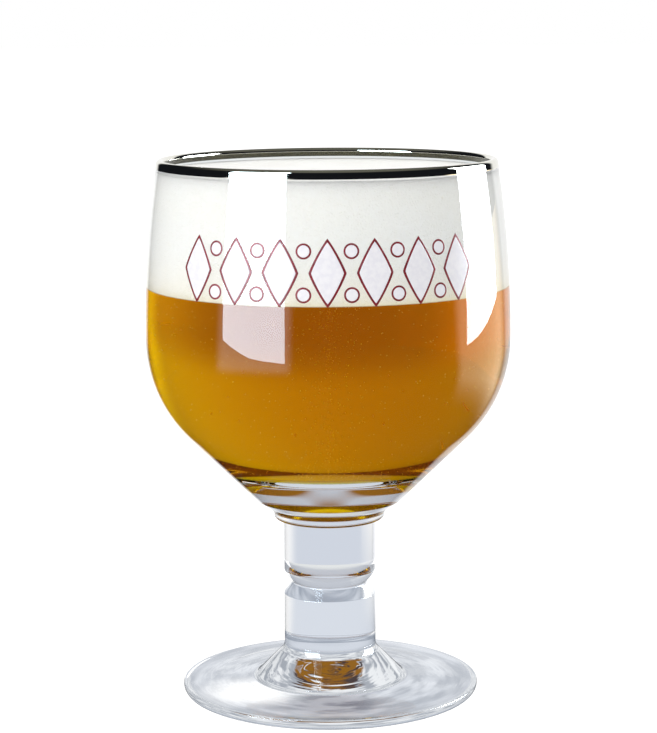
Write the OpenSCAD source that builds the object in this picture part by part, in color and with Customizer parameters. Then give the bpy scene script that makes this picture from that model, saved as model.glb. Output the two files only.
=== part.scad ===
// Stemmed chalice beer glass: a blown bowl, a pressed stem with a cut waist and a round foot,
// fused hot, with a fired metal band on the lip, holding beer under a thick head of foam.
// The glass stands on the table at Z = 0, and its axis is Z.

/* [Bowl] */
// Height of the bowl, from the top of the stem to the rim
bowl_h = 100.6; // [85:0.1:120]
// Outer diameter at the widest point
belly_d = 101; // [90:0.1:112]
// How far the lip is drawn in from the widest point
rim_inset = 3.7; // [1:0.1:8]
// Outer radius of the shoulder, below the widest point
shoulder_r = 38; // [28:0.5:46]
// Lean of the outer cone from upright, in degrees
cone_angle = 45.5; // [38:0.5:52]
// Diameter of the cone at its foot, over the step that leads down to the collar
cone_foot_d = 40.3; // [38:0.1:44]
// Height of that step, which leans more than the cone
cone_step_h = 2.1; // [1:0.1:3]
// Diameter of the solid collar at the base of the bowl
collar_d = 31.1; // [29:0.1:34]
// Rounding under the collar's edge
collar_edge_r = 1.4; // [0.6:0.1:1.8]
// Height of the collar's upright edge over that rounding
collar_edge_h = 0.7; // [0.3:0.1:1.5]
// Height of the collar's leaning side, from its edge up to the step
collar_side_h = 1.3; // [0.6:0.1:2]
// Wall at the lip
rim_wall = 2; // [1.4:0.1:2.4]
// Wall at the widest point
belly_wall = 2.2; // [1.8:0.1:3]
// How much more the inner cone leans than the outer one, in degrees
cone_thickening = 2; // [1:0.5:6]
// Solid glass between the stem and the floor of the bowl
floor_t = 16; // [13:0.1:18]
// Radius between the inner cone and the floor
floor_r = 28; // [16:0.5:30]

/* [Stem] */
// Diameter of the upper drum
upper_drum_d = 25.6; // [22:0.1:26]
// Height of the upper drum's straight side
upper_drum_h = 14.7; // [8:0.1:20]
// Height of the rounded bevel under the upper drum
upper_bevel_h = 3.2; // [2:0.1:5]
// Radius of that bevel's bulge
upper_bevel_r = 8; // [6:0.5:30]
// Diameter of the waist between the drums
waist_d = 20.9; // [17:0.1:22]
// Height of the straight part of the waist
waist_h = 0.5; // [0.3:0.1:4]
// Height of the straight bevel over the lower drum
lower_bevel_h = 3; // [1.5:0.1:5]
// Diameter of the lower drum
lower_drum_d = 25.7; // [23:0.1:28]
// Height of the lower drum's straight side
lower_drum_h = 14.1; // [8:0.1:20]

/* [Foot] */
// Diameter of the foot
foot_d = 83; // [74:0.1:90]
// Lower rounding of the disc's edge
lower_edge_r = 2.3; // [1:0.1:4]
// Height of the straight face between the edge's two roundings
edge_face_h = 0.2; // [0.1:0.1:2]
// Upper rounding of the disc's edge
upper_edge_r = 0.6; // [0.3:0.1:2]
// Slope of the disc's top, in degrees
disc_slope = 3; // [1:0.5:5]
// Height of the hub over the disc's edge
hub_h = 10.8; // [9:0.1:16]
// Lean of the hub's side from upright, in degrees
hub_angle = 45; // [35:1:52]
// Radius between the stem and the hub
hub_neck_r = 3.5; // [2:0.5:6]
// Radius between the hub and the disc
hub_root_r = 2.5; // [1:0.1:4]
// Width of the flat ring that the foot stands on
ring_w = 3.2; // [1:0.1:8]
// Rise of that hollow at the middle
hollow_rise = 1.4; // [0.8:0.1:1.8]

/* [Rim band] */
// Height of the fired metal band on the outside
band_h = 2.3; // [1.6:0.1:5]
// Thickness of the metal
band_t = 0.12; // [0.08:0.01:0.3]

/* [Drink] */
// Space between the foam and the rim
headspace = 2.9; // [1:0.1:30]
// Depth of the foam head
foam_h = 32; // [5:0.1:60]

/* [Hidden] */
$fn = 128;
// How far the middle of a straight step may lie inside the arc that it follows
arc_tolerance = 0.01;

glass_tint = [0.86, 0.92, 0.95, 0.45];
metal_tint = [0.72, 0.73, 0.75];
beer_tint = [0.80, 0.50, 0.05, 0.9];
foam_tint = [0.96, 0.95, 0.90];

// Heights of the joints between the fused pieces, from the table up
disc_t = lower_edge_r + edge_face_h + upper_edge_r;
hub_top_z = disc_t + hub_h;
lower_bevel_z = hub_top_z + lower_drum_h;
waist_z = lower_bevel_z + lower_bevel_h;
upper_bevel_z = waist_z + waist_h;
upper_drum_z = upper_bevel_z + upper_bevel_h;
bowl_z = upper_drum_z + upper_drum_h;
rim_z = bowl_z + bowl_h;

// Outside of the bowl: a rounded collar, a step and a cone, then the shoulder and side arcs, each
// tangent to the one before
belly_r = belly_d / 2;
rim_r = belly_r - rim_inset;
collar_c = [collar_d / 2 - collar_edge_r, bowl_z + collar_edge_r];
collar_edge = collar_c + [collar_edge_r, collar_edge_h];
collar_top = collar_edge + collar_side_h * [tan(cone_angle), 1];
cone_foot = [cone_foot_d / 2, collar_top[1] + cone_step_h];
cone_top_r = belly_r - shoulder_r * (1 - cos(cone_angle));
cone_top = [cone_top_r, cone_foot[1] + (cone_top_r - cone_foot[0]) / tan(cone_angle)];
belly = [belly_r, cone_top[1] + shoulder_r * sin(cone_angle)];
shoulder_c = belly - [shoulder_r, 0];
lip_r = rim_wall / 2;
lip_c = [rim_r - lip_r, rim_z - lip_r];
side_top = lip_c + [lip_r, 0];
lip_top = lip_c + [0, lip_r];
side_r = arc_radius(side_top[1] - belly[1], rim_inset);
side_c = belly - [side_r, 0];

// Inside of the bowl: the same run of arcs, with the wall thickening towards the floor
inner_belly = belly - [belly_wall, 0];
inner_side_top = side_top - [rim_wall, 0];
inner_side_r = arc_radius(inner_side_top[1] - inner_belly[1], inner_belly[0] - inner_side_top[0]);
inner_side_c = inner_belly - [inner_side_r, 0];
inner_cone_normal = outward(-cone_angle - cone_thickening);
inner_cone_top = shoulder_c + (shoulder_r - belly_wall) * inner_cone_normal;
floor_z = bowl_z + floor_t;
// The floor's radius, held in where it would leave no straight cone over it
floor_arc_r = min(floor_r, 0.95 * (inner_cone_top[1] - floor_z) / (1 + inner_cone_normal[1]));
floor_c = on_offset_line(inner_cone_top, inner_cone_normal, -floor_arc_r, floor_z + floor_arc_r);
inner_cone_foot = floor_c + floor_arc_r * inner_cone_normal;
floor_edge = floor_c - [0, floor_arc_r];
inside = concat(
    [floor_edge],
    arc(floor_c, floor_edge, inner_cone_foot),
    [inner_cone_top],
    arc(shoulder_c, inner_cone_top, inner_belly),
    arc(inner_side_c, inner_belly, inner_side_top)
);

// Levels of the drink
foam_z = rim_z - headspace;
beer_z = foam_z - foam_h;

// The radius of an arc that starts square to one side and is drawn in by inset over its length
function arc_radius(length, inset) = (length * length + inset * inset) / (2 * inset);

// The direction in the half section that rises by an angle on its way out from the axis
function outward(angle) = [cos(angle), sin(angle)];

// The angle of a direction in the half section, and an angle turned to lie within half a circle
function rise_of(v) = atan2(v[1], v[0]);
function half_circle(angle) = angle - 360 * round(angle / 360);

// The points that follow p on the short arc about c from p to q
function arc(c, p, q) =
    let (r = norm(p - c))
    let (sweep = half_circle(rise_of(q - c) - rise_of(p - c)))
    let (steps = ceil(abs(sweep) / (2 * acos(1 - arc_tolerance / r))))
    [for (i = [1:steps]) c + r * outward(rise_of(p - c) + sweep * i / steps)];

// The centre of an arc of radius r from p to q that bulges to the right of the way from p to q
function bulge_centre(p, q, r) =
    let (half = (q - p) / 2)
    let (left = [-half[1], half[0]] / norm(half))
    p + half + left * sqrt(r * r - half * half);

// The point at a height on the line through p that is moved along its normal by a distance
function on_offset_line(p, normal, distance, z) =
    [(p * normal + distance - z * normal[1]) / normal[0], z];

// The point at a distance beyond two lines, each given by a point on it and its normal
function offset_crossing(p, p_normal, q, q_normal, distance) =
    let (a = p * p_normal + distance)
    let (b = q * q_normal + distance)
    let (det = p_normal[0] * q_normal[1] - p_normal[1] * q_normal[0])
    [a * q_normal[1] - b * p_normal[1], b * p_normal[0] - a * q_normal[0]] / det;

// The radius of the bowl's inside at a height
function inside_r(z) = lookup(z, [for (p = inside) [p[1], p[0]]]);

// The outline of what fills the bowl between two heights
function filling(z0, z1) = concat(
    [[0, z0], [inside_r(z0), z0]],
    [for (p = inside) if (p[1] > z0 && p[1] < z1) p],
    [[inside_r(z1), z1], [0, z1]]
);

// The bowl's profile runs up the outside, over the lip and down the inside
module bowl() {
    color(glass_tint) rotate_extrude() polygon(concat(
        [[0, bowl_z], collar_c - [0, collar_edge_r]],
        arc(collar_c, collar_c - [0, collar_edge_r], collar_c + [collar_edge_r, 0]),
        [collar_edge, collar_top, cone_foot, cone_top],
        arc(shoulder_c, cone_top, belly),
        arc(side_c, belly, side_top),
        arc(lip_c, side_top, lip_top),
        arc(lip_c, lip_top, inner_side_top),
        [for (i = [len(inside) - 2:-1:0]) inside[i]],
        [[0, floor_z]]
    ));
}

// The stem's profile: lower drum, straight bevel, waist, rounded bevel and upper drum
module stem() {
    lower_r = lower_drum_d / 2;
    waist_r = waist_d / 2;
    upper_r = upper_drum_d / 2;
    bevel_foot = [waist_r, upper_bevel_z];
    bevel_top = [upper_r, upper_drum_z];
    color(glass_tint) rotate_extrude() polygon(concat(
        [[0, hub_top_z], [lower_r, hub_top_z], [lower_r, lower_bevel_z], [waist_r, waist_z], bevel_foot],
        arc(bulge_centre(bevel_foot, bevel_top, upper_bevel_r), bevel_foot, bevel_top),
        [[upper_r, bowl_z], [0, bowl_z]]
    ));
}

// The foot's profile: hollow underside, rounded edge, sloping disc, and a hub that runs into the stem
module foot() {
    foot_r = foot_d / 2;
    hollow_edge = [foot_r - lower_edge_r - ring_w, 0];
    hollow_top = [0, hollow_rise];
    hollow_c = hollow_top - [0, arc_radius(hollow_edge[0], hollow_rise)];
    lower_edge_c = [foot_r - lower_edge_r, lower_edge_r];
    upper_edge_c = [foot_r - upper_edge_r, disc_t - upper_edge_r];
    edge_top = upper_edge_c + [0, upper_edge_r];
    drum_foot = [lower_drum_d / 2, hub_top_z];
    hub_neck_c = drum_foot + [hub_neck_r, 0];
    side_normal = outward(hub_angle);
    disc_normal = outward(90 - disc_slope);
    hub_top = hub_neck_c - hub_neck_r * side_normal;
    hub_root_c = offset_crossing(hub_top, side_normal, edge_top, disc_normal, hub_root_r);
    hub_foot = hub_root_c - hub_root_r * side_normal;
    disc_inner = hub_root_c - hub_root_r * disc_normal;
    color(glass_tint) rotate_extrude() polygon(concat(
        [hollow_top],
        arc(hollow_c, hollow_top, hollow_edge),
        [lower_edge_c - [0, lower_edge_r]],
        arc(lower_edge_c, lower_edge_c - [0, lower_edge_r], lower_edge_c + [lower_edge_r, 0]),
        [upper_edge_c + [upper_edge_r, 0]],
        arc(upper_edge_c, upper_edge_c + [upper_edge_r, 0], edge_top),
        [disc_inner],
        arc(hub_root_c, disc_inner, hub_foot),
        [hub_top],
        arc(hub_neck_c, hub_top, drum_foot),
        [[0, hub_top_z]]
    ));
}

// A skin of metal on the outside of the lip, over its round top and down to its inner edge
module rim_band() {
    foot_angle = asin((rim_z - band_h - side_c[1]) / side_r);
    top_angle = rise_of(side_top - side_c);
    band_foot = side_c + side_r * outward(foot_angle);
    metal_foot = side_c + (side_r + band_t) * outward(foot_angle);
    metal_side_top = side_c + (side_r + band_t) * outward(top_angle);
    metal_top = lip_top + [0, band_t];
    metal_inner = inner_side_top - [band_t, 0];
    metal_out = lip_c + [lip_r + band_t, 0];
    color(metal_tint) rotate_extrude() polygon(concat(
        [band_foot, metal_foot],
        arc(side_c, metal_foot, metal_side_top),
        arc(lip_c, metal_out, metal_top),
        arc(lip_c, metal_top, metal_inner),
        [inner_side_top],
        arc(lip_c, inner_side_top, lip_top),
        arc(lip_c, lip_top, side_top)
    ));
}

module beer() {
    color(beer_tint) rotate_extrude() polygon(filling(floor_z, beer_z));
}

module foam_head() {
    color(foam_tint) rotate_extrude() polygon(filling(beer_z, foam_z));
}

bowl();
stem();
foot();
rim_band();
beer();
foam_head();
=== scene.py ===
"""Looks of the stemmed chalice beer glass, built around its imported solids.

Shapes are worked out in millimetres as half sections (radius, height) and turned about Z.
"""

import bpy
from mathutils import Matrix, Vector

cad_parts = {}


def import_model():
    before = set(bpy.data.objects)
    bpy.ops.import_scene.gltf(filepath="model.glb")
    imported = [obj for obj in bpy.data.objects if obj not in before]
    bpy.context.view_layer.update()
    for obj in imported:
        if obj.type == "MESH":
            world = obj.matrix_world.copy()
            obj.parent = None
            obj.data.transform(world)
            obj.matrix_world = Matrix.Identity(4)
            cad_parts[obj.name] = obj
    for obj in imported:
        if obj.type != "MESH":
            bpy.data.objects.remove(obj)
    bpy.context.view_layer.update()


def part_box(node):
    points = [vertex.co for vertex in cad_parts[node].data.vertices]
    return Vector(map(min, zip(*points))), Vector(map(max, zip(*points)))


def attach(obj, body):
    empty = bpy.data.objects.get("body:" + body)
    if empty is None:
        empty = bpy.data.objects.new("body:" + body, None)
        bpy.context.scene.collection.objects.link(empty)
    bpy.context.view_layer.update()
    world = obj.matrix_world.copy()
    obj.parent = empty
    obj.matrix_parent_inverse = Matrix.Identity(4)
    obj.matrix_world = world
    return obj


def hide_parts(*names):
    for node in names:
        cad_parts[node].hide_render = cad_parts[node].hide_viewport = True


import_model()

import math

import bpy
import numpy as np

MM = 0.001
ROUND = 192  # steps round the axis
RNG = np.random.default_rng(41)


# Half sections

def pair(*values):
    """Numbers as one array."""
    return np.array(values, float)


def toward(angle):
    """The direction in the half section that rises by an angle in degrees on its way outward."""
    return pair(math.cos(math.radians(angle)), math.sin(math.radians(angle)))


def arc(centre, start, end, step=1.0, turn=1.5):
    """The points after start on the short arc about centre: centre plus radius times the cosine
    and sine of evenly spaced angles, at most step millimetres and turn degrees apart."""
    a, b = start - centre, end - centre
    radius, first = np.hypot(*a), math.atan2(a[1], a[0])
    sweep = (math.atan2(b[1], b[0]) - first + math.pi) % (2 * math.pi) - math.pi
    count = math.ceil(max(abs(sweep) * radius / step, abs(math.degrees(sweep)) / turn, 2))
    angles = first + sweep * np.arange(1, count + 1) / count
    return centre + radius * np.c_[np.cos(angles), np.sin(angles)]


def line(start, end, step=1.0):
    """The points after start on a straight line, at most step apart, and closer near both ends."""
    length = np.hypot(*(end - start))
    count = math.ceil(length / step) + 4
    share = (1 - np.cos(np.linspace(0, math.pi, count + 1)[1:])) / 2
    return start + share[:, None] * (end - start)


def eased(corners, radii, step=1.0):
    """A run of straight lines through the corners, each corner rounded by its radius: the arc
    leaves a line at the radius times the tangent of half the turn before the corner."""
    run, at = [corners[0][None]], corners[0]
    for before, corner, after, radius in zip(corners, corners[1:], corners[2:], radii):
        u, v = corner - before, after - corner
        u, v = u / np.hypot(*u), v / np.hypot(*v)
        turn = math.atan2(u[0] * v[1] - u[1] * v[0], u @ v)
        back = radius * abs(math.tan(turn / 2))
        side = pair(-u[1], u[0]) * math.copysign(radius, turn)
        enter, leave = corner - back * u, corner + back * v
        run += [line(at, enter, step), arc(enter + side, enter, leave, 0.5, 12)]
        at = leave
    return np.vstack([*run, line(at, corners[-1], step)])


def arc_radius(length, inset):
    """The radius of an arc that starts square to one side and is drawn in by inset over length."""
    return (length**2 + inset**2) / (2 * inset)


# Sizes, as in the solids: millimetres, and angles in degrees

bowl_z, foam_z, beer_z, floor_z = (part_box(n)[i].z / MM for n, i in
                                   (("bowl", 0), ("foam_head", 1), ("beer", 1), ("beer", 0)))
rim_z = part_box("bowl")[1].z / MM
hub_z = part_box("stem")[0].z / MM
belly_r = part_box("bowl")[1].x / MM
foot_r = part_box("foot")[1].x / MM
COLLAR_R, COLLAR_ROUND, COLLAR_EDGE, COLLAR_SIDE, STEP = 15.55, 1.4, 0.7, 1.3, 2.1
CONE, CONE_FOOT_R, SHOULDER_R, RIM_IN = 45.5, 20.15, 38.0, 3.7
LIP_R, BELLY_WALL, THICKENING, FLOOR_R = 1.0, 2.2, 2.0, 28.0
LOWER_R, UPPER_R, WAIST_R = 12.85, 12.8, 10.45
LOWER_BEVEL_Z, WAIST_Z, UPPER_BEVEL_Z, UPPER_DRUM_Z, BEVEL_ARC = 28.0, 31.0, 31.5, 34.7, 8.0
EDGE_LOW, EDGE_HIGH, DISC_T, SLOPE, RING, HOLLOW = 2.3, 0.6, 3.1, 3.0, 3.2, 1.4
HUB_LEAN, NECK_R, ROOT_R = 45.0, 3.5, 2.5
BAND_H, BAND_T = 2.3, 0.12

collar_c = pair(COLLAR_R - COLLAR_ROUND, bowl_z + COLLAR_ROUND)
collar_edge = collar_c + pair(COLLAR_ROUND, COLLAR_EDGE)
collar_top = collar_edge + COLLAR_SIDE * pair(math.tan(math.radians(CONE)), 1)
cone_foot = pair(CONE_FOOT_R, collar_top[1] + STEP)
cone_top_r = belly_r - SHOULDER_R * (1 - math.cos(math.radians(CONE)))
cone_top = pair(cone_top_r,
                cone_foot[1] + (cone_top_r - CONE_FOOT_R) / math.tan(math.radians(CONE)))
belly = pair(belly_r, cone_top[1] + SHOULDER_R * math.sin(math.radians(CONE)))
shoulder_c = belly - pair(SHOULDER_R, 0)
lip_c = pair(belly_r - RIM_IN - LIP_R, rim_z - LIP_R)
side_top, lip_top, lip_in = lip_c + pair(LIP_R, 0), lip_c + pair(0, LIP_R), lip_c - pair(LIP_R, 0)
side_r = arc_radius(side_top[1] - belly[1], RIM_IN)
side_c = belly - pair(side_r, 0)
inner_belly = belly - pair(BELLY_WALL, 0)
inner_r = arc_radius(lip_in[1] - belly[1], inner_belly[0] - lip_in[0])
inner_c = inner_belly - pair(inner_r, 0)
cone_normal = toward(-CONE - THICKENING)
inner_cone_top = shoulder_c + (SHOULDER_R - BELLY_WALL) * cone_normal
floor_c = pair((inner_cone_top @ cone_normal - FLOOR_R - (floor_z + FLOOR_R) * cone_normal[1])
               / cone_normal[0], floor_z + FLOOR_R)
floor_edge = floor_c - pair(0, FLOOR_R)


def height_on(centre, radius, z):
    """The point of an arc at a height."""
    return pair(centre[0] + math.sqrt(radius**2 - (z - centre[1])**2), z)


wet_top = height_on(inner_c, inner_r, foam_z)
band_foot = height_on(side_c, side_r, rim_z - BAND_H)
bowl_inside = np.vstack([
    pair(0, floor_z)[None], line(pair(0, floor_z), floor_edge),
    arc(floor_c, floor_edge, floor_c + FLOOR_R * cone_normal),
    line(floor_c + FLOOR_R * cone_normal, inner_cone_top),
    arc(shoulder_c, inner_cone_top, inner_belly), arc(inner_c, inner_belly, wet_top),
])


def outer_r(z):
    """The radius of the bowl's outside above its widest point."""
    return side_c[0] + np.sqrt(side_r**2 - (z - side_c[1])**2)


def filled(low, high, inset):
    """The inside of the bowl between two heights, moved inward by inset."""
    r = np.interp([low, high], bowl_inside[:, 1], bowl_inside[:, 0])
    between = bowl_inside[(bowl_inside[:, 1] > low) & (bowl_inside[:, 1] < high)]
    rows = np.vstack([[[r[0], low]], between, [[r[1], high]]])
    return rows - pair(inset, 0)


# Meshes

def piece(name, points, faces, finishes, finish_of=None, replaces=()):
    """A smooth mesh object at the origin from points in millimetres, riding on the part."""
    mesh = bpy.data.meshes.new(name)
    mesh.from_pydata((points * MM).tolist(), [], faces)
    mesh.polygons.foreach_set("use_smooth", np.ones(len(faces), bool))
    if finish_of is not None:
        mesh.polygons.foreach_set("material_index", finish_of.astype(np.int32))
    for finish in finishes:
        mesh.materials.append(finish)
    made = bpy.data.objects.new(name, mesh)
    bpy.context.scene.collection.objects.link(made)
    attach(made, "root")
    if replaces:
        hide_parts(*replaces)


def sheet_faces(rows, columns, closed_rows=False):
    """Quads of a grid whose columns close on themselves, and whose rows may too."""
    last = rows if closed_rows else rows - 1
    i, j = np.meshgrid(np.arange(last), np.arange(columns), indexing="ij")
    up, on = (i + 1) % rows, (j + 1) % columns
    return np.stack([i * columns + j, i * columns + on, up * columns + on, up * columns + j],
                    -1).reshape(-1, 4)


def capped(rings, first, last, owner):
    """A grid of rings closed by a point at each end: the points, its faces and their owners,
    where owner gives the finish of the strip that ends at each ring."""
    count, columns = rings.shape[:2]
    points = np.vstack([rings.reshape(-1, 3), first, last])
    quads = sheet_faces(count, columns)
    j = np.arange(columns)
    on = (j + 1) % columns
    end = (count - 1) * columns
    low = np.stack([np.full(columns, count * columns), on, j], -1)
    high = np.stack([np.full(columns, count * columns + 1), end + j, end + on], -1)
    finish_of = np.concatenate([np.repeat(owner[1:-1], columns), np.full(columns, owner[0]),
                                np.full(columns, owner[-1])])
    return points, quads.tolist() + low.tolist() + high.tolist(), finish_of


def turned(profile):
    """A half section turned about Z: radius times the cosine and sine of even angles."""
    angles = 2 * math.pi * np.arange(ROUND) / ROUND
    r, z = profile[:, :1], profile[:, 1:]
    return np.stack([r * np.cos(angles), r * np.sin(angles), z + 0 * angles], -1)


def turned_solid(name, runs, finishes, replaces):
    """A closed solid of revolution. Its half section is a list of runs of points with the
    number of their finish, from the axis round the outside and back to the axis."""
    profile = np.vstack([points for points, _ in runs])
    owner = np.concatenate([np.full(len(points), number) for points, number in runs])
    rings = turned(profile[1:-1])
    ends = [pair(0, 0, profile[i][1])[None] for i in (0, -1)]
    points, faces, finish_of = capped(rings, *ends, owner[1:])
    piece(name, points, faces, finishes, finish_of, replaces)


# Shader maths

class Value:
    """One output socket. Arithmetic on it adds Math nodes."""

    def __init__(self, tree, socket):
        self.tree, self.socket = tree, socket

    def math(self, operation, *others, flip=False):
        """A Math node on this value and the others, in reverse order where flip is set."""
        terms = [self, *others][::-1] if flip else [self, *others]
        return self.tree.node("ShaderNodeMath", {"operation": operation}, dict(enumerate(terms)))

    def __add__(self, other):
        return self.math("ADD", other)

    def __sub__(self, other):
        return self.math("SUBTRACT", other)

    def __rsub__(self, other):
        return self.math("SUBTRACT", other, flip=True)

    def __mul__(self, other):
        return self.math("MULTIPLY", other)

    def __truediv__(self, other):
        return self.math("DIVIDE", other)

    def __rtruediv__(self, other):
        return self.math("DIVIDE", other, flip=True)

    __radd__, __rmul__ = __add__, __mul__


class Tree:
    """The nodes of a material or of the world."""

    def __init__(self, owner):
        owner.use_nodes = True
        self.nodes, self.links = owner.node_tree.nodes, owner.node_tree.links
        self.nodes.clear()

    def node(self, kind, settings=None, sockets=None, out=0):
        """Adds a node, sets it up, fills or links its sockets, and gives one of its outputs."""
        made = self.nodes.new(kind)
        for key, value in (settings or {}).items():
            setattr(made, key, value)
        for key, value in (sockets or {}).items():
            if isinstance(value, Value):
                self.links.new(value.socket, made.inputs[key])
            else:
                made.inputs[key].default_value = value
        return Value(self, made.outputs[out]) if len(made.outputs) else made

    def light(self, ray):
        """What the light path says of a ray, such as whether it is of a kind."""
        return self.node("ShaderNodeLightPath", out=ray)

    def place(self):
        """Object coordinates, in metres."""
        return self.node("ShaderNodeTexCoord", out="Object")

    def axes(self, vector):
        """The three numbers of a vector."""
        parts = self.node("ShaderNodeSeparateXYZ", sockets={0: vector}).socket.node
        return [Value(self, s) for s in parts.outputs]

    def vector(self, x, y, z):
        """Three numbers as one vector."""
        return self.node("ShaderNodeCombineXYZ", None, {0: x, 1: y, 2: z})

    def smooth(self, value, low, high):
        """0 at low, 1 at high and eased between."""
        return self.node("ShaderNodeMapRange", {"interpolation_type": "SMOOTHSTEP"},
                         {"Value": value, "From Min": low, "From Max": high})

    def mix(self, share, first, second):
        """A colour from first at share 0 to second at share 1."""
        return self.node("ShaderNodeMix", {"data_type": "RGBA"}, {0: share, 6: rgba(first),
                                                                 7: rgba(second)}, out=2)

    def noise(self, scale, detail=2.0, vector=None):
        """Smooth noise from 0 to 1 over the object's own place, or over another vector."""
        return self.node("ShaderNodeTexNoise", None,
                         {"Vector": vector or self.place(), "Scale": scale, "Detail": detail})

    def cells(self, scale):
        """The distance to the nearest of scattered points, for round bubbles."""
        return self.node("ShaderNodeTexVoronoi", None, {"Vector": self.place(), "Scale": scale})

    def bump(self, height, distance):
        """A surface that stands proud by height times distance in metres."""
        return self.node("ShaderNodeBump", None, {"Height": height, "Distance": distance})

    def output(self, surface, volume=None, kind="ShaderNodeOutputMaterial"):
        """Ends the tree in its surface, and in its volume where it has one."""
        self.node(kind, None, {"Surface": surface} | ({"Volume": volume} if volume else {}))


def rgba(colour):
    """A colour with its alpha, or a link as it is."""
    return colour if isinstance(colour, Value) else (*colour, 1.0)


SCATTERED = ("Is Shadow Ray", "Is Diffuse Ray")
INSIDE_GLASS = (*SCATTERED, "Is Glossy Ray")


def opened(tree, shader, tint, rays=SCATTERED):
    """Lets some rays, lamp light and scattered light at least, straight through a surface."""
    for ray in rays:
        clear = tree.node("ShaderNodeBsdfTransparent", None, {"Color": rgba(tint)})
        shader = tree.node("ShaderNodeMixShader", None, {0: tree.light(ray), 1: shader, 2: clear})
    return shader


def let_out(tree, shader, tint):
    """Lets light that a clear surface has mirrored pass the next one, so none is caught inside."""
    clear = tree.node("ShaderNodeBsdfTransparent", None, {"Color": rgba(tint)})
    bent = tree.node("ShaderNodeMixShader", None,
                     {0: tree.light("Is Transmission Ray"), 1: clear, 2: shader})
    return tree.node("ShaderNodeMixShader", None,
                     {0: tree.light("Is Glossy Ray"), 1: shader, 2: bent})


def material(name, build, *options, **more):
    """A new material, with the nodes that build adds."""
    made = bpy.data.materials.new(name)
    build(Tree(made), *options, **more)
    return made


# Finishes, with lengths in metres

GLASS_BEND, DRINK_BEND = 1.5, 1.34
GLASS_TINT, STRAIGHT_TINT = (0.985, 0.992, 1.0), (0.97, 0.975, 0.98)
BLOWN_RIPPLE, PRESSED_RIPPLE, MOULD_RING, RINGS_PER_METRE = 0.00003, 0.00004, 0.00005, 420
FINE_COAT = 0.00001
FOAM_BUBBLE, LIGHT_SINKS = 0.00008, 0.007


def mould_rings(tree):
    """Uneven rings that pressing leaves on the foot, none on the stem above it: noise over the
    distance from the axis, which drifts slowly from place to place."""
    x, y, z = tree.axes(tree.place())
    away = (x * x + y * y).math("SQRT")
    drift = 45
    rings = tree.noise(1.0, 1.0, tree.vector(away * RINGS_PER_METRE, x * drift, y * drift))
    return rings * tree.smooth(z, (hub_z + 0.5) * MM, (hub_z - 2) * MM)


def clear_glass(tree, ior, ripple=0.0, tint=GLASS_TINT, passing=STRAIGHT_TINT, rays=SCATTERED,
                pressed=False):
    """Polished soda glass, with a faint slow ripple. Pressed glass also has the rings of its
    mould, and it lets out the light that it mirrors inside."""
    sockets = {"Base Color": rgba(tint), "Transmission Weight": 1.0, "Roughness": 0.0, "IOR": ior}
    if ripple:
        height = tree.noise(26.0, 1.0) * ripple
        if pressed:
            height = height + mould_rings(tree) * MOULD_RING
        sockets["Normal"] = tree.bump(height, 1.0)
    glass = tree.node("ShaderNodeBsdfPrincipled", None, sockets)
    if pressed:
        glass = let_out(tree, glass, passing)
    tree.output(opened(tree, glass, passing, rays))


def fired_metal(tree):
    """Bright platinum fired on the lip, with the faint mottle of a brushed-on coat."""
    mottle = tree.noise(900.0, 3.0)
    tree.output(tree.node("ShaderNodeBsdfPrincipled", None, {
        "Base Color": tree.mix(mottle, (0.74, 0.73, 0.66), (0.84, 0.83, 0.74)),
        "Metallic": 1.0, "Roughness": 0.015 + mottle * 0.03,
        "Normal": tree.bump(tree.noise(180.0, 2.0), FINE_COAT)}))


def metal_back_painted_shade(tree):
    """The same metal as it shows through the glass, with painted shade: nearly black, and a
    little brassy.
    """
    mottle = tree.noise(220.0, 3.0)
    tree.output(tree.node("ShaderNodeBsdfPrincipled", None, {
        # painted shade: a nearly black base colour where the bright metal lies against the glass
        "Base Color": tree.mix(mottle, (0.03, 0.028, 0.012), (0.08, 0.076, 0.036)),
        "Metallic": 1.0, "Roughness": 0.12}))


def clear_beer(tree):
    """Clear golden beer: its surface bends nothing, and its depth takes blue and green away."""
    surface = tree.node("ShaderNodeBsdfPrincipled", None, {
        "Base Color": (1, 1, 1, 1), "Transmission Weight": 1.0, "Roughness": 0.0, "IOR": 1.0})
    depth = tree.node("ShaderNodeVolumeAbsorption", None, {
        "Color": (0.988, 0.948, 0.0, 1), "Density": 250.0})
    tree.output(opened(tree, surface, (1, 1, 1), INSIDE_GLASS), depth)


def thick_foam(tree):
    """Dense cream foam: fine bubbles, a few coarse ones, a warmer foot where it meets the beer,
    and painted shade on its underside. Light sinks into it before it comes back."""
    height = tree.axes(tree.place())[2]
    foot_top = beer_z + 14
    foot = 1 - tree.smooth(height, beer_z * MM, foot_top * MM)
    cloud = tree.noise(60.0, 3.0)
    fine = tree.smooth(tree.cells(1500.0), 0.55, 0.1)
    coarse = tree.smooth(tree.cells(420.0), 0.18, 0.05) * tree.smooth(tree.noise(90.0), 0.5, 0.7)
    cream = tree.mix(cloud * 0.6 + foot * 0.5, (0.93, 0.93, 0.90), (0.91, 0.88, 0.79))
    dotted = tree.mix(fine * 0.10 + coarse * 0.35, cream, (0.72, 0.66, 0.50))
    # painted shade: the foam's face on the beer is darkened toward brown
    painted_underside_shade = tree.smooth(height, (beer_z + 0.3) * MM, (beer_z + 0.05) * MM)
    dotted = tree.mix(painted_underside_shade, dotted, (0.40, 0.33, 0.22))
    tree.output(tree.node("ShaderNodeBsdfPrincipled", None, {
        "Base Color": dotted, "Roughness": 0.75,
        "Subsurface Weight": 1.0, "Subsurface Radius": (1, 1, 1), "Subsurface Scale": LIGHT_SINKS,
        "Normal": tree.bump(fine + coarse, FOAM_BUBBLE)}))


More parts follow.
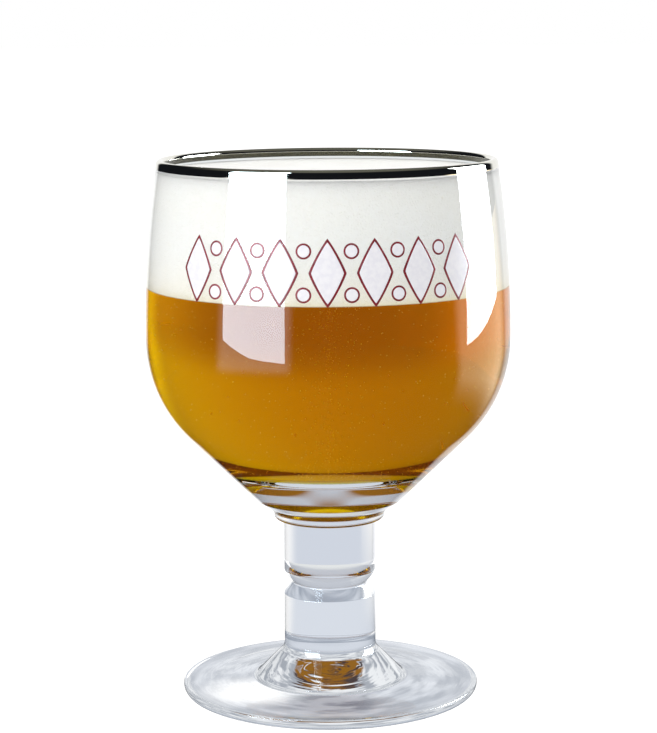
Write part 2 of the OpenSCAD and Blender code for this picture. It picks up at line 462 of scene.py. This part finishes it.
def enamel(tree, colour, shade):
    """Screen-printed enamel, a little uneven, and thin enough to pass scattered light."""
    coat = tree.noise(700.0, 4.0)
    printed = tree.node("ShaderNodeBsdfPrincipled", None, {
        "Base Color": tree.mix(tree.smooth(coat, 0.35, 0.7), colour, shade),
        "Roughness": 0.28 + coat * 0.12, "Normal": tree.bump(coat, FINE_COAT)})
    tree.output(opened(tree, printed, (0.97, 0.97, 0.97)))


def painted_glint_bubble(tree):
    """A rising bubble as an opaque, bright golden sphere: a painted glint, for the light that
    a clear gas bubble catches.
    """
    tree.output(tree.node("ShaderNodeBsdfPrincipled", None, {
        # painted glint: a bright golden base colour in place of a clear bubble's reflections
        "Base Color": tree.mix(tree.noise(300.0), (0.98, 0.74, 0.30), (1.0, 0.85, 0.45)),
        "Roughness": 0.2}))


outer_glass = material("clear_glass_outside", clear_glass, GLASS_BEND, ripple=BLOWN_RIPPLE)
dry_glass = material("clear_glass_dry_inside", clear_glass, GLASS_BEND)
wet_glass = material("clear_glass_against_drink", clear_glass, GLASS_BEND / DRINK_BEND)
pressed_glass = material("clear_glass_pressed", clear_glass, GLASS_BEND, ripple=PRESSED_RIPPLE,
                         pressed=True)
weld = material("fused_joint", clear_glass, 1.0, tint=(1, 1, 1), passing=(1, 1, 1),
                rays=INSIDE_GLASS)
rim_metal = material("fired_rim_metal", fired_metal)
rim_back_painted_shade = material("rim_metal_painted_shade_through_glass", metal_back_painted_shade)
beer_finish = material("golden_beer", clear_beer)
foam_finish = material("cream_foam", thick_foam)
white_enamel = material("white_enamel", enamel, (0.86, 0.85, 0.88), (0.80, 0.79, 0.84))
red_enamel = material("dark_red_enamel", enamel, (0.24, 0.008, 0.02), (0.16, 0.006, 0.014))
bubble_painted_glint = material("bubbles_painted_glint", painted_glint_bubble)


# The glass

def bowl():
    """Weld disc, collar, step, cone, shoulder, side, lip, then down the inside to the floor."""
    weld_edge = pair(UPPER_R, bowl_z)
    under = collar_c - pair(0, COLLAR_ROUND)
    rounded = arc(collar_c, under, collar_c + pair(COLLAR_ROUND, 0), 0.2, 6)
    base = np.vstack([
        weld_edge[None], line(weld_edge, under, 0.3), rounded,
        eased([rounded[-1], collar_edge, collar_top, cone_foot, cone_foot + toward(90 - CONE) * 3],
              [0.6, 1.2, 1.2], 0.3)[1:]])
    runs = [
        (np.vstack([pair(0, bowl_z)[None], line(pair(0, bowl_z), weld_edge, 2.0)]), 1),
        (np.vstack([base[1:], line(base[-1], cone_top), arc(shoulder_c, cone_top, belly),
                    arc(side_c, belly, band_foot)]), 0),
        # the band's back on the glass, in the metal with painted shade
        (np.vstack([arc(side_c, band_foot, side_top, 0.3), arc(lip_c, side_top, lip_top, 0.1, 6),
                    arc(lip_c, lip_top, lip_in, 0.1, 6)]), 2),
        (arc(inner_c, lip_in, wet_top, 0.3), 3),
        (bowl_inside[-2::-1], 4),
    ]
    turned_solid("glass_bowl", runs, [outer_glass, weld, rim_back_painted_shade, dry_glass, wet_glass],
                 replaces=["bowl"])


def stem():
    """Lower drum, straight bevel, waist, rounded bevel and upper drum. The arc of the rounded
    bevel, on a centre left of its chord, gives up its end points to the eased corners."""
    foot, head = pair(WAIST_R, UPPER_BEVEL_Z), pair(UPPER_R, UPPER_DRUM_Z)
    half = (head - foot) / 2
    left = pair(-half[1], half[0]) / np.hypot(*half)
    centre = foot + half + left * math.sqrt(BEVEL_ARC**2 - half @ half)
    bulge = arc(centre, foot, head, 0.2, 4)
    start = pair(LOWER_R, hub_z)
    lower = eased([start, pair(LOWER_R, LOWER_BEVEL_Z), pair(WAIST_R, WAIST_Z), foot,
                   bulge[3]], [0.5, 0.4, 0.3], 0.4)
    upper = eased([bulge[-4], bulge[-2] + (bulge[-1] - bulge[-2]) * 1.3, pair(UPPER_R, bowl_z)],
                  [0.8], 0.6)
    runs = [
        (np.vstack([pair(0, hub_z)[None], line(pair(0, hub_z), start, 2.0)]), 1),
        (np.vstack([lower[1:], bulge[4:-4], upper]), 0),
        (line(pair(UPPER_R, bowl_z), pair(0, bowl_z), 2.0), 1),
    ]
    turned_solid("glass_stem", runs, [pressed_glass, weld], replaces=["stem"])


def foot():
    """Hollow underside, standing ring, rounded edge, sloping disc, and hub up to the stem."""
    hollow_edge, hollow_top = pair(foot_r - EDGE_LOW - RING, 0), pair(0, HOLLOW)
    hollow_c = hollow_top - pair(0, arc_radius(hollow_edge[0], HOLLOW))
    low_c, high_c = pair(foot_r - EDGE_LOW, EDGE_LOW), pair(foot_r - EDGE_HIGH, DISC_T - EDGE_HIGH)
    edge_top, drum_foot = high_c + pair(0, EDGE_HIGH), pair(LOWER_R, hub_z)
    neck_c, side_n, disc_n = drum_foot + pair(NECK_R, 0), toward(HUB_LEAN), toward(90 - SLOPE)
    hub_top = neck_c - NECK_R * side_n
    root_c = np.linalg.solve([side_n, disc_n],
                             [hub_top @ side_n + ROOT_R, edge_top @ disc_n + ROOT_R])
    root_low, root_high = root_c - ROOT_R * disc_n, root_c - ROOT_R * side_n
    ring_in, ring_out = hollow_edge + pair(0.4, 0), low_c - pair(0, EDGE_LOW)
    runs = [
        (np.vstack([hollow_top[None], arc(hollow_c, hollow_top, hollow_edge)[:-1],
                    line(ring_in, ring_out, 0.5),
                    arc(low_c, ring_out, low_c + pair(EDGE_LOW, 0), 0.3, 6),
                    line(low_c + pair(EDGE_LOW, 0), high_c + pair(EDGE_HIGH, 0), 0.2),
                    arc(high_c, high_c + pair(EDGE_HIGH, 0), edge_top, 0.2, 8),
                    line(edge_top, root_low), arc(root_c, root_low, root_high, 0.4, 3),
                    line(root_high, hub_top, 0.5), arc(neck_c, hub_top, drum_foot, 0.4, 2)]), 0),
        (line(drum_foot, pair(0, hub_z), 2.0), 1),
    ]
    turned_solid("glass_foot", runs, [pressed_glass, weld], replaces=["foot"])


def rim_band():
    """A closed skin over the lip: its outside, its round top, and back just clear of the glass."""
    outside, over, gap, ease = side_r + BAND_T, LIP_R + BAND_T, 0.01, 0.03
    foot_angle = math.degrees(math.asin((rim_z - BAND_H - side_c[1]) / side_r))
    top_angle = math.degrees(math.asin((side_top[1] - side_c[1]) / side_r))
    low, high = toward(foot_angle), toward(top_angle)
    edge = side_c + outside * low + pair(0, ease)
    profile = np.vstack([
        side_c + (side_r + gap) * low, side_c + (outside - ease) * low, edge,
        arc(side_c, edge, side_c + outside * high, 0.2),
        arc(lip_c, lip_c + pair(over, 0), lip_c + pair(0, over), 0.1, 6),
        arc(lip_c, lip_c + pair(0, over), lip_c - pair(over, 0), 0.1, 6),
        arc(lip_c, lip_c - pair(LIP_R + gap, 0), lip_c + pair(0, LIP_R + gap), 0.1, 8),
        arc(lip_c, lip_c + pair(0, LIP_R + gap), lip_c + pair(LIP_R + gap, 0), 0.1, 8),
        arc(side_c, side_c + (side_r + gap) * high, side_c + (side_r + gap) * low, 0.4)[:-1],
    ])
    piece("rim_metal_band", turned(profile).reshape(-1, 3),
          sheet_faces(len(profile), ROUND, closed_rows=True).tolist(), [rim_metal],
          replaces=["rim_band"])


# The drink

INSET = 0.02  # between the drink's skin and the glass
FOAM_WAVES, WALL_CLING, MIDDLE_DIP = 14, 0.45, 0.25
BUBBLES, IN_COLUMN = 1500, 0.4


def beer():
    """The beer fills the bowl up to the foam, a hair clear of the wall."""
    side = filled(floor_z + INSET, beer_z - INSET, INSET)
    runs = [(np.vstack([pair(0, side[0][1])[None], line(pair(0, side[0][1]), side[0])[:-1], side,
                        line(side[-1], pair(0, side[-1][1]))]), 0)]
    turned_solid("beer_fill", runs, [beer_finish], replaces=["beer"])


def foam():
    """The foam head: a straight side on the wall, and a top whose height is a sum of slow waves
    in angle and radius, lower in the middle and clinging to the wall."""
    side = filled(beer_z + INSET, foam_z - INSET, INSET)
    edge_r, edge_z = side[-1]
    inward = np.linspace(1, 0, 60)[1:-1]
    angles = 2 * math.pi * np.arange(ROUND) / ROUND
    under = line(pair(0, side[0][1]), side[0], 2.0)[:-1]
    wall = turned(np.vstack([under, side]))
    share = inward[:, None]
    waves = sum(a * np.sin(k * angles + p + q * share) * np.sin(math.pi * share) ** 0.5
                for a, k, p, q in zip(RNG.uniform(0.02, 0.10, FOAM_WAVES),
                                      RNG.integers(1, 12, FOAM_WAVES),
                                      RNG.uniform(0, 6.3, FOAM_WAVES),
                                      RNG.uniform(-14, 14, FOAM_WAVES)))
    dip = WALL_CLING * (1 - share**8) + MIDDLE_DIP * (1 - share**2)
    top_z = np.minimum(edge_z - dip + waves, edge_z)
    top = np.stack([edge_r * share * np.cos(angles), edge_r * share * np.sin(angles), top_z], -1)
    rings = np.concatenate([wall, top])
    ends = [pair(0, 0, z)[None] for z in (side[0][1], top_z[-1].mean())]
    points, faces, _ = capped(rings, *ends, np.zeros(len(rings) + 1))
    piece("foam_cap", points, faces, [foam_finish], replaces=["foam_head"])


def ball(rings=4, columns=6):
    """A small sphere of unit radius as points and faces, from even latitudes and longitudes."""
    lat = math.pi * np.arange(1, rings) / rings
    lon = 2 * math.pi * np.arange(columns) / columns
    grid = np.stack([np.sin(lat)[:, None] * np.cos(lon), np.sin(lat)[:, None] * np.sin(lon),
                     -np.cos(lat)[:, None] + 0 * lon], -1)
    points, faces, _ = capped(grid, pair(0, 0, -1)[None], pair(0, 0, 1)[None], np.zeros(rings))
    return points, faces


def many(points, faces, centres, radii):
    """Copies of one small shape, scaled and moved as one array."""
    spread = centres[:, None] + points * radii[:, None, None]
    moved = [[v + n * len(points) for v in face] for n in range(len(centres)) for face in faces]
    return spread.reshape(-1, 3), moved


def bubbles():
    """Bubbles through the beer: a loose cloud near the wall, and a denser column off the floor,
    whose radii are a power of an even draw."""
    clear_of_wall, column_r = 0.6, 9
    z = RNG.uniform(floor_z + 2, beer_z - 1, BUBBLES)
    wall = np.interp(z, bowl_inside[:, 1], bowl_inside[:, 0])
    column = RNG.random(BUBBLES) < IN_COLUMN
    depth = RNG.uniform(clear_of_wall, 16.0, BUBBLES)
    r = np.where(column, RNG.uniform(0.05, 1, BUBBLES) ** 1.5 * column_r, wall - depth)
    r = np.clip(r, 0, wall - clear_of_wall)
    angle = np.where(column, *RNG.uniform(0, 2 * math.pi, (2, BUBBLES)))
    centres = np.c_[r * np.sin(angle), -r * np.cos(angle), z]
    points, faces = many(*ball(), centres, RNG.uniform(0.06, 0.13, BUBBLES))
    piece("beer_bubbles", points, faces, [bubble_painted_glint])


# The painted border

BORDER_Z, LOZENGES, PITCH, LOZENGE, DOT, DOT_RISE = 124.0, 7, 12.4, (4.2, 7.9), 1.55, 5.6
POINTED, CIRCULAR = 1.12, 2.0  # powers of the superellipse
OUTLINE, OUTLINE_SLANT = 0.5, (1.4, 1.9)  # a lozenge grows more, for an even line on its slants


def painted(name, finish, grow, low, high):
    """Flat shapes on the outside of the bowl, each a thin closed shell. A shape's edge is a
    superellipse, whose sum of powers is 1, and its points are shrunk copies of that edge."""
    steps = 96
    t = 2 * math.pi * np.arange(steps) / steps
    c, s = np.cos(t), np.sin(t)
    shapes = [((i - (LOZENGES - 1) / 2) * PITCH, BORDER_Z, *LOZENGE, POINTED)
              for i in range(LOZENGES)]
    shapes += [((i - LOZENGES / 2 + 1) * PITCH, BORDER_Z + side * DOT_RISE, DOT, DOT, CIRCULAR)
               for i in range(LOZENGES - 1) for side in (-1, 1)]
    inner, bevel = np.linspace(0.08, 0.96, 12), 0.01
    share = np.r_[inner, 1.0, 1.0, inner[::-1]]
    lift = np.r_[np.full(len(inner), high), high - bevel, low, np.full(len(inner), low)]
    all_points, all_faces = [], []
    for u0, z0, a, b, power in shapes:
        wider, taller = OUTLINE_SLANT if power == POINTED else (1, 1)
        a, b = a + grow * wider, b + grow * taller
        reach = (np.abs(c / a) ** power + np.abs(s / b) ** power) ** (-1 / power)
        u = u0 + share[:, None] * reach * c
        z = z0 + share[:, None] * reach * s
        angle = u / outer_r(BORDER_Z)
        r = outer_r(z) + lift[:, None]
        rings = np.stack([r * np.sin(angle), -r * np.cos(angle), z], -1)
        turn, middle_r = u0 / outer_r(BORDER_Z), outer_r(z0)
        ends = [pair((middle_r + h) * math.sin(turn), -(middle_r + h) * math.cos(turn), z0)[None]
                for h in (high, low)]
        points, faces, _ = capped(rings, *ends, np.zeros(len(rings) + 1))
        offset = sum(len(p) for p in all_points)
        all_points.append(points)
        all_faces += [[v + offset for v in face[::-1]] for face in faces]
    piece(name, np.vstack(all_points), all_faces, [finish])


bowl()
stem()
foot()
rim_band()
beer()
foam()
bubbles()
painted("border_outline", red_enamel, OUTLINE, -0.01, 0.035)
painted("border_fill", white_enamel, 0.0, 0.02, 0.06)


# Stage, light and camera, in metres

# East is to the right and north to the back, and a direction's rise is its slope. The stage is
# white to the camera. To matt surfaces it gives plain soft light, to polished ones a dark room
# with soft boxes in it, and to clear ones the colours that the glass bends into view.

BLACK, WHITE = (0, 0, 0), (1.0, 1.0, 1.0)
DARK, DARK_ABOVE = (0.008, 0.009, 0.012), (0.14, 0.14, 0.12)
AROUND_FOOT, NEAR, HORIZON = (0.72, 0.76, 0.83), (0.66, 0.70, 0.78), (0.84, 0.86, 0.86)
ABOVE, IN_FRONT = (0.58, 0.61, 0.67), (0.50, 0.52, 0.56)
FOOT_STREAKS = (0.35, 0.39, 0.46), (0.70, 0.74, 0.81)
DARK_STREAKS = (0.13, 0.13, 0.18), (0.44, 0.44, 0.50)
DARK_POOL, BRIGHT_POOL, POOL_R = (0.001, -0.024), (-0.022, -0.011), 0.018
BRIGHT, BRIGHT_SIDE = (1.2, 1.2, 1.2), (1.05, 1.05, 1.05)
HUB_STREAKS, DUSK = ((0.42, 0.45, 0.50), (0.92, 0.94, 0.96)), (0.07, 0.05, 0.05)
AMBER, AMBER_EAST, AMBER_RISE = (0.30, 0.13, 0.015), 0.01, 0.49
SHADE, SHADE_EAST, SHADE_WEST = (0.42, 0.29, 0.25), (0.70, 0.57, 0.45), (0.72, 0.42, 0.28)
PALE_EAST, PALE_WEST = (0.83, 0.81, 0.78), (0.56, 0.45, 0.40)
LIT_SIDE = (1.75, 1.95, 1.9)
WARM_GLOW, WHITE_GLOW = (2.2, 1.9, 1.4), (1.8, 1.8, 1.8)
LOW_LIGHT, HIGH_LIGHT = (0.75, 0.75, 0.76), (1.16, 1.16, 1.16)
TO_CAMERA, SHADOWED, TO_PART = (0.90, 0.90, 0.90), (0.30, 0.30, 0.30), (0.75, 0.75, 0.75)
DRINK_Z = 0.11  # how high the drink stands
DRINK_FACES = 3.2  # a ray that more faces than this have bent looks through the drink
TABLE_Z, TABLE_HALF = -0.0002, 9  # just under the foot, and half of the table's side


def length(x, y):
    """How long a flat vector is."""
    return (x * x + y * y).math("SQRT")


def crossed(tree, count):
    """1 for rays that have been bent by more than count faces of glass, 0 for others."""
    return tree.light("Transmission Depth").math("GREATER_THAN", count)


def mirrored_first(tree):
    """1 for rays that polished surfaces have mirrored and nothing has bent."""
    return tree.light("Is Glossy Ray") * (1 - crossed(tree, 0.5))


def kept(tree, faces):
    """1 for rays that clear glass has mirrored inside, and bent by this many faces."""
    mirrored = tree.light("Glossy Depth").math("GREATER_THAN", 0.5)
    return mirrored * crossed(tree, faces - 0.5) * (1 - crossed(tree, faces + 0.5))


def behind_drink(tree, rise, east):
    """What the drink looks through to, by the rise and the easterly part of a direction: a dim
    table low down, with warmer flanks, and a pale room above that is lighter to the east."""
    low = tree.mix(tree.smooth(east, 0.15, 0.65), SHADE, SHADE_EAST)
    low = tree.mix(tree.smooth(east, -0.20, -0.44), low, SHADE_WEST)
    high = tree.mix(tree.smooth(east, -0.40, 0.60), PALE_WEST, PALE_EAST)
    seen = tree.mix(tree.smooth(rise, -0.13, 0.05), low, high)
    return tree.mix(tree.smooth(east, 0.62, 0.85), seen, LIT_SIDE)


def white_behind(tree, east, north):
    """1 for directions to the back, a little to the right, where mirrors see white."""
    return tree.smooth(north + east * 0.11, 0.83, 0.90)


def pool(tree, x, y, at):
    """A soft round patch on the table, 1 in its middle."""
    span = length(x - at[0], y - at[1])
    return tree.smooth(span, POOL_R, 0.3 * POOL_R)


def under_foot(tree, x, y, away, east, north):
    """The light that the foot gathers on the table: streaks drawn out round the axis, by noise
    over distance and bearing, with a dark pool in front and a bright one on the left."""
    rings = tree.noise(1.0, 2.0, tree.vector(away * 190, east * 1.7, north * 1.7))
    streaks = tree.mix(tree.smooth(rings, 0.36, 0.66), *FOOT_STREAKS)
    dark = tree.mix(tree.smooth(rings, 0.40, 0.58), *DARK_STREAKS)
    streaks = tree.mix(pool(tree, x, y, DARK_POOL), streaks, dark)
    return tree.mix(pool(tree, x, y, BRIGHT_POOL), streaks, BRIGHT)


def table_in_glass(tree, x, y, away, east, north):
    """What clear glass shows of the table: pale, brighter on both sides and paler far away,
    streaked under the foot, and the drink's own shaded table far off."""
    clear = tree.mix(tree.smooth(away, 0.10, 0.16), AROUND_FOOT, NEAR)
    clear = tree.mix(tree.smooth(away, 0.5, 0.8), clear, HORIZON)
    under = tree.smooth(away, 0.052, 0.044)
    clear = tree.mix(under, clear, under_foot(tree, x, y, away, east, north))
    far_side = tree.smooth(east, -0.40, -0.80) * tree.smooth(away, 0.06, 0.10)
    clear = tree.mix(far_side * 0.5, clear, WHITE)
    lit_side = tree.smooth(east, 0.48, 0.82) * tree.smooth(away, 0.045, 0.06)
    clear = tree.mix(lit_side, clear, BRIGHT_SIDE)
    far_drink = crossed(tree, DRINK_FACES) * tree.smooth(away, 0.15, 0.40)
    return tree.mix(far_drink, clear, behind_drink(tree, -DRINK_Z / away, east))


def table_in_mirrors(tree, away, east, north):
    """What polished surfaces mirror of the table: dark, with a warm glow on the right, a white
    one on the left in front, and white behind."""
    right = tree.smooth(east, 0.55, 0.78) * tree.smooth(north, -0.15, 0.0)
    left = tree.smooth(east, -0.34, -0.44) * tree.smooth(north, -0.30, -0.42)
    glow = tree.mix(right * tree.smooth(away, 0.14, 0.30), DARK, WARM_GLOW)
    glow = tree.mix(left * tree.smooth(away, 0.30, 0.50), glow, WHITE_GLOW)
    behind = white_behind(tree, east, north) * tree.smooth(away, 0.05, 0.12)
    return tree.mix(behind, glow, WHITE)


def table_finish(tree):
    """White to the camera, with a share of real shadow, and a plain pale light to the part."""
    x, y, _ = tree.axes(tree.place())
    away = length(x, y)
    east, north = x / away, y / away
    camera, glossy = tree.light("Is Camera Ray"), tree.light("Is Glossy Ray")
    shown = tree.mix(camera, BLACK, TO_CAMERA)
    shown = tree.mix(glossy, shown, table_in_glass(tree, x, y, away, east, north))
    shown = tree.mix(mirrored_first(tree), shown, table_in_mirrors(tree, away, east, north))
    lit = tree.mix(camera, TO_PART, SHADOWED)
    lit = tree.mix(glossy, lit, BLACK)
    glowing = tree.node("ShaderNodeEmission", None, {"Color": shown})
    diffuse = tree.node("ShaderNodeBsdfDiffuse", None, {"Color": lit})
    tree.output(tree.node("ShaderNodeAddShader", None, {0: glowing, 1: diffuse}))


def stage_card(name, corners, finish):
    """A flat stage sheet through four corners in metres."""
    mesh = bpy.data.meshes.new(name)
    mesh.from_pydata(corners, [], [(0, 1, 2, 3)])
    mesh.materials.append(finish)
    card = bpy.data.objects.new(name, mesh)
    bpy.context.scene.collection.objects.link(card)
    return card


def soft_box(tree, level, mirrored, through):
    """A soft light. Polished surfaces mirror its face brighter than it lights matt ones."""
    face = tree.mix(tree.light("Is Glossy Ray"), level, through)
    face = tree.mix(mirrored_first(tree), face, mirrored)
    tree.output(tree.node("ShaderNodeEmission", None, {"Color": face}))


def upright(angle_near, near, angle_far, far, low, high):
    """Corners of an upright card between two compass angles from the front, with distances."""
    ends = [pair(math.sin(math.radians(a)) * d, -math.cos(math.radians(a)) * d)
            for a, d in ((angle_near, near), (angle_far, far))]
    return [(*ends[0], low), (*ends[1], low), (*ends[1], high), (*ends[0], high)]


def light(name, corners, level, mirrored, through):
    """A soft light on a card that the camera doesn't see itself."""
    card = stage_card(name, corners, material(name, soft_box, level, mirrored, through))
    card.visible_camera = False


def inside_hub(tree, rise, east):
    """What the hub of the foot mirrors inside: streaks of grey and white, and in their middle an
    oval of the drink's amber with dark streaks, each streak drawn out level in the noise."""
    streaks = tree.noise(1.0, 3.0, tree.vector(east * 11, rise * 30, 0.7))
    seen = tree.mix(tree.smooth(streaks, 0.40, 0.60), *HUB_STREAKS)
    across, up = east - AMBER_EAST, rise - AMBER_RISE
    oval = across * across * 32 + up * up * 150
    gold = tree.noise(1.0, 2.0, tree.vector(east * 14, rise * 44, 3.1))
    gold = tree.smooth(gold - oval * 0.15, 0.28, 0.38)
    seen = tree.mix(gold * tree.smooth(oval, 1.2, 0.9), seen, AMBER)
    dusk = tree.noise(1.0, 2.0, tree.vector(east * 8, rise * 55, 5.2))
    dusk = tree.smooth(dusk, 0.47, 0.40) * tree.smooth(oval, 1.4, 1.0)
    return tree.mix(dusk, seen, DUSK)


def world():
    """White to the camera, a plain light that is stronger from above, and a dark room with white
    behind to mirrors. Glass shows a soft grey, amber where the bowl's base or the hub mirrors
    the drink, and the room behind the drink where the drink is looked through."""
    made = bpy.data.worlds.new("studio")
    bpy.context.scene.world = made
    tree = Tree(made)
    x, y, z = tree.axes(tree.node("ShaderNodeTexCoord", out="Generated"))
    flat = length(x, y)
    rise, east = z / flat, x / flat
    mirrored = tree.mix(white_behind(tree, x, y), DARK, WHITE)
    mirrored = tree.mix(tree.smooth(z, 0.5, 0.9), mirrored, DARK_ABOVE)
    clear = tree.mix(tree.smooth(z, 0.0, 0.12), HORIZON, ABOVE)
    clear = tree.mix(kept(tree, 1), clear, inside_hub(tree, rise, east))
    in_base = tree.smooth(rise, 0.2115, 0.2195) * tree.smooth(rise, 0.40, 0.30)
    clear = tree.mix(kept(tree, 2) * in_base, clear, AMBER)
    through = tree.mix(crossed(tree, DRINK_FACES), clear, behind_drink(tree, rise, east))
    through = tree.mix(tree.smooth(y, 0.2, -0.3), through, IN_FRONT)
    level = tree.mix(tree.smooth(z, 0.2, 0.9), LOW_LIGHT, HIGH_LIGHT)
    shown = tree.mix(tree.light("Is Camera Ray"), level, WHITE)
    shown = tree.mix(tree.light("Is Glossy Ray"), shown, through)
    shown = tree.mix(mirrored_first(tree), shown, mirrored)
    tree.output(tree.node("ShaderNodeBackground", None, {"Color": shown}),
                kind="ShaderNodeOutputWorld")


world()
stage_card("table", [(x * TABLE_HALF, y * TABLE_HALF, TABLE_Z)
                     for x, y in ((-1, -1), (1, -1), (1, 1), (-1, 1))],
           material("white_table", table_finish))
light("left_light", upright(-25.5, 0.62, -66, 0.9, 0.006, 0.62),
      level=(2.8, 2.8, 2.8), mirrored=(11, 13.5, 15.5), through=(1.6, 1.6, 1.6))
light("right_light", upright(93, 0.74, 129, 1.2, 0.006, 0.56),
      level=(1.2, 1.2, 1.2), mirrored=(14, 15, 16), through=(1.6, 1.6, 1.6))

LOOKS_DOWN, LEANS = 8.92, 0.375  # degrees
lens = bpy.data.cameras.new("camera")
lens.lens, lens.sensor_width = 114.9, 36.0
camera = bpy.data.objects.new("camera", lens)
camera.location = (0.0007, -0.6429, 0.1931)
camera.rotation_euler = (math.radians(90 - LOOKS_DOWN), math.radians(LEANS), 0)
bpy.context.scene.collection.objects.link(camera)
bpy.context.scene.camera = camera
bpy.context.scene.view_settings.view_transform = "Standard"
